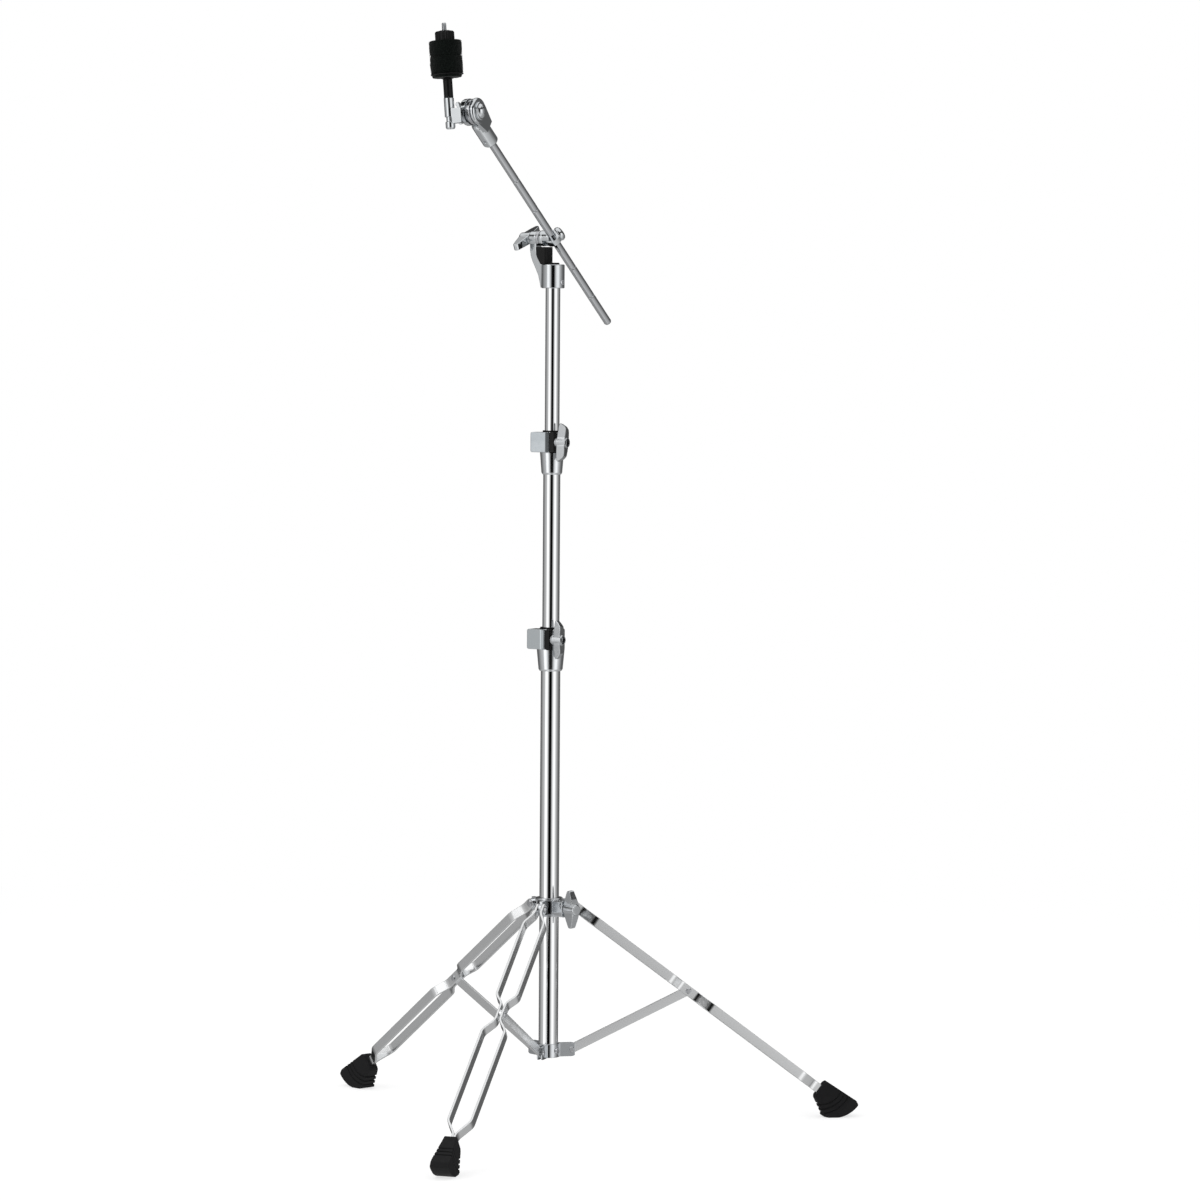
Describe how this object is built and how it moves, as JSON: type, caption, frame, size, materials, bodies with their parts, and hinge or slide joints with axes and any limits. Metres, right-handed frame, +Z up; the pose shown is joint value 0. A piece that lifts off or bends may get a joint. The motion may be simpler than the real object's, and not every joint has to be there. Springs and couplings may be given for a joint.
{
  "type": "cymbal boom stand",
  "caption": "Folding tripod stand with a telescoping clamped column, a tilting boom rod and a felted cymbal seat on a tilter.",
  "frame": {"origin": "on the floor, under the middle of the object's footprint; the column's axis stands at y = +0.099 m", "axes": "+Z up along the column, -Y towards the front leg's foot, +X towards the right leg"},
  "size_m": [0.7332, 0.635, 1.4223],
  "materials": {
    "tube_chrome": "mirror-bright chrome plate on drawn steel tube",
    "cast_chrome": "bright chrome plate on die castings and wing nuts",
    "strip_chrome": "chrome plate on pressed strip, slightly satin",
    "rod_chrome": "satin chrome rod",
    "fastener_steel": "zinc-plated steel",
    "black_nylon": "moulded black nylon",
    "black_plastic": "satin black moulded plastic",
    "foot_rubber": "black moulded rubber with ribs",
    "felt": "dense black wool felt with a rough cut edge"
  },
  "bodies": {
    "base": {"base_tube": "tube_chrome", "base_plug": "black_nylon", "lower_bracket": "strip_chrome", "bracket_pins": "fastener_steel", "bracket_screw": "fastener_steel", "lower_clamp": "cast_chrome", "lower_bush": "black_nylon", "lower_clamp_bolt": "fastener_steel", "lower_washer": "fastener_steel"},
    "lower_wing": {"lower_wing_nut": "cast_chrome"},
    "leg_slider": {"leg_collar": "cast_chrome", "collar_rivets": "fastener_steel"},
    "collar_wing": {"collar_wing_bolt": "cast_chrome"},
    "front_leg": {"front_strip_a": "strip_chrome", "front_strip_b": "strip_chrome", "front_rivet": "fastener_steel", "front_foot": "foot_rubber"},
    "front_link": {"front_brace": "strip_chrome"},
    "right_leg": {"right_strip_a": "strip_chrome", "right_strip_b": "strip_chrome", "right_rivet": "fastener_steel", "right_foot": "foot_rubber"},
    "right_link": {"right_brace": "strip_chrome"},
    "left_leg": {"left_strip_a": "strip_chrome", "left_strip_b": "strip_chrome", "left_rivet": "fastener_steel", "left_foot": "foot_rubber"},
    "left_link": {"left_brace": "strip_chrome"},
    "middle_carrier": {"middle_guide": "black_nylon"},
    "middle_column": {"middle_tube": "tube_chrome", "upper_clamp": "cast_chrome", "upper_bush": "black_nylon", "upper_clamp_bolt": "fastener_steel", "upper_washer": "fastener_steel"},
    "upper_wing": {"upper_wing_nut": "cast_chrome"},
    "upper_carrier": {"upper_guide": "black_nylon"},
    "upper_column": {"upper_tube": "tube_chrome", "boom_bracket": "cast_chrome", "boom_bracket_screw": "fastener_steel", "bracket_block": "black_nylon", "boom_disc": "fastener_steel", "boom_washer": "fastener_steel"},
    "boom_holder": {"boom_clamp": "cast_chrome", "boom_eye_bolt": "cast_chrome"},
    "boom_wing": {"boom_wing_nut": "cast_chrome"},
    "boom_arm": {"boom_rod": "rod_chrome"},
    "tilter_base": {"tilter_socket": "cast_chrome", "socket_screw": "fastener_steel", "tilter_disc": "fastener_steel", "tilter_bolt": "cast_chrome"},
    "tilter_wing": {"tilter_nut": "cast_chrome"},
    "tilter_top": {"tilter_head": "cast_chrome", "post": "rod_chrome", "post_lock": "cast_chrome", "seat_sleeve": "black_plastic", "seat_cup": "black_plastic", "lower_felt": "felt"},
    "top_felt": {"upper_felt": "felt"},
    "top_nut": {"cymbal_nut": "black_plastic"}
  },
  "joints": [
    {"name": "lower_wing_turn", "type": "hinge", "parent": "base", "child": "lower_wing", "pos_m": [0.0103, 0.0788, 0.637], "axis": [0.9686, -0.2487, 0], "continuous": true},
    {"name": "tripod_fold", "type": "slide", "parent": "base", "child": "leg_slider", "axis": [0, 0, 1], "range_m": [0, 0.17196]},
    {"name": "collar_wing_turn", "type": "hinge", "parent": "leg_slider", "child": "collar_wing", "pos_m": [0.03118, 0.081, 0.2873], "axis": [0.866, -0.5, 0], "continuous": true},
    {"name": "front_leg_swing", "type": "hinge", "parent": "leg_slider", "child": "front_leg", "pos_m": [0, 0.0667, 0.2883], "axis": [1, 0, 0], "range_deg": [0, 45]},
    {"name": "front_brace_swing", "type": "hinge", "parent": "front_leg", "child": "front_link", "pos_m": [0, -0.08744, 0.17215], "axis": [-1, 0, 0], "range_deg": [0, 100.23]},
    {"name": "right_leg_swing", "type": "hinge", "parent": "leg_slider", "child": "right_leg", "pos_m": [0.02797, 0.11515, 0.2883], "axis": [-0.5, 0.866, 0], "range_deg": [0, 45]},
    {"name": "right_brace_swing", "type": "hinge", "parent": "right_leg", "child": "right_link", "pos_m": [0.16146, 0.19222, 0.17215], "axis": [0.5, -0.866, 0], "range_deg": [0, 100.23]},
    {"name": "left_leg_swing", "type": "hinge", "parent": "leg_slider", "child": "left_leg", "pos_m": [-0.02797, 0.11515, 0.2883], "axis": [-0.5, -0.866, 0], "range_deg": [0, 45]},
    {"name": "left_brace_swing", "type": "hinge", "parent": "left_leg", "child": "left_link", "pos_m": [-0.16146, 0.19222, 0.17215], "axis": [0.5, 0.866, 0], "range_deg": [0, 100.23]},
    {"name": "middle_slide", "type": "slide", "parent": "base", "child": "middle_carrier", "axis": [0, 0, 1], "range_m": [-0.195, 0.22]},
    {"name": "middle_turn", "type": "hinge", "parent": "middle_carrier", "child": "middle_column", "pos_m": [0, 0.099, 0.4], "axis": [0, 0, 1], "continuous": true},
    {"name": "upper_wing_turn", "type": "hinge", "parent": "middle_column", "child": "upper_wing", "pos_m": [0.01292, 0.08199, 0.892], "axis": [0.9917, -0.1288, 0], "continuous": true},
    {"name": "upper_slide", "type": "slide", "parent": "middle_column", "child": "upper_carrier", "axis": [0, 0, 1], "range_m": [-0.181, 0.24]},
    {"name": "upper_turn", "type": "hinge", "parent": "upper_carrier", "child": "upper_column", "pos_m": [0, 0.099, 0.7], "axis": [0, 0, 1], "continuous": true},
    {"name": "boom_tilt", "type": "hinge", "parent": "upper_column", "child": "boom_holder", "pos_m": [0, 0.099, 1.155], "axis": [-0.9641, 0.2656, 0], "range_deg": [-97, 17]},
    {"name": "boom_wing_turn", "type": "hinge", "parent": "boom_holder", "child": "boom_wing", "pos_m": [-0.03856, 0.10962, 1.155], "axis": [-0.9641, 0.2656, 0], "continuous": true},
    {"name": "boom_slide", "type": "slide", "parent": "boom_holder", "child": "boom_arm", "axis": [-0.2034, -0.7385, 0.6428], "range_m": [-0.14, 0.15]},
    {"name": "boom_roll", "type": "hinge", "parent": "boom_arm", "child": "tilter_base", "pos_m": [-0.04943, -0.08046, 1.3112], "axis": [-0.2034, -0.7385, 0.6428], "continuous": true},
    {"name": "tilter_tilt", "type": "hinge", "parent": "tilter_base", "child": "tilter_top", "pos_m": [-0.04943, -0.08046, 1.3112], "axis": [-0.9769, 0.1965, -0.0834], "range_deg": [-70, 80]},
    {"name": "tilter_nut_turn", "type": "hinge", "parent": "tilter_base", "child": "tilter_wing", "pos_m": [-0.06311, -0.07771, 1.31003], "axis": [-0.9769, 0.1965, -0.0834], "continuous": true},
    {"name": "cymbal_nut_lift", "type": "slide", "parent": "tilter_top", "child": "top_nut", "axis": [-0.0812, 0.0193, 0.9965], "range_m": [0, 0.03]},
    {"name": "felt_lift", "type": "slide", "parent": "tilter_top", "child": "top_felt", "axis": [-0.0812, 0.0193, 0.9965], "range_m": [0, 0.018]}
  ],
  "couplings": [
    {"joint": "front_leg_swing", "follows": "tripod_fold", "rad_per_m": 4.5673},
    {"joint": "front_brace_swing", "follows": "tripod_fold", "rad_per_m": 10.173},
    {"joint": "right_leg_swing", "follows": "tripod_fold", "rad_per_m": 4.5673},
    {"joint": "right_brace_swing", "follows": "tripod_fold", "rad_per_m": 10.173},
    {"joint": "left_leg_swing", "follows": "tripod_fold", "rad_per_m": 4.5673},
    {"joint": "left_brace_swing", "follows": "tripod_fold", "rad_per_m": 10.173},
    {"joint": "felt_lift", "follows": "cymbal_nut_lift", "ratio": 0.6}
  ]
}
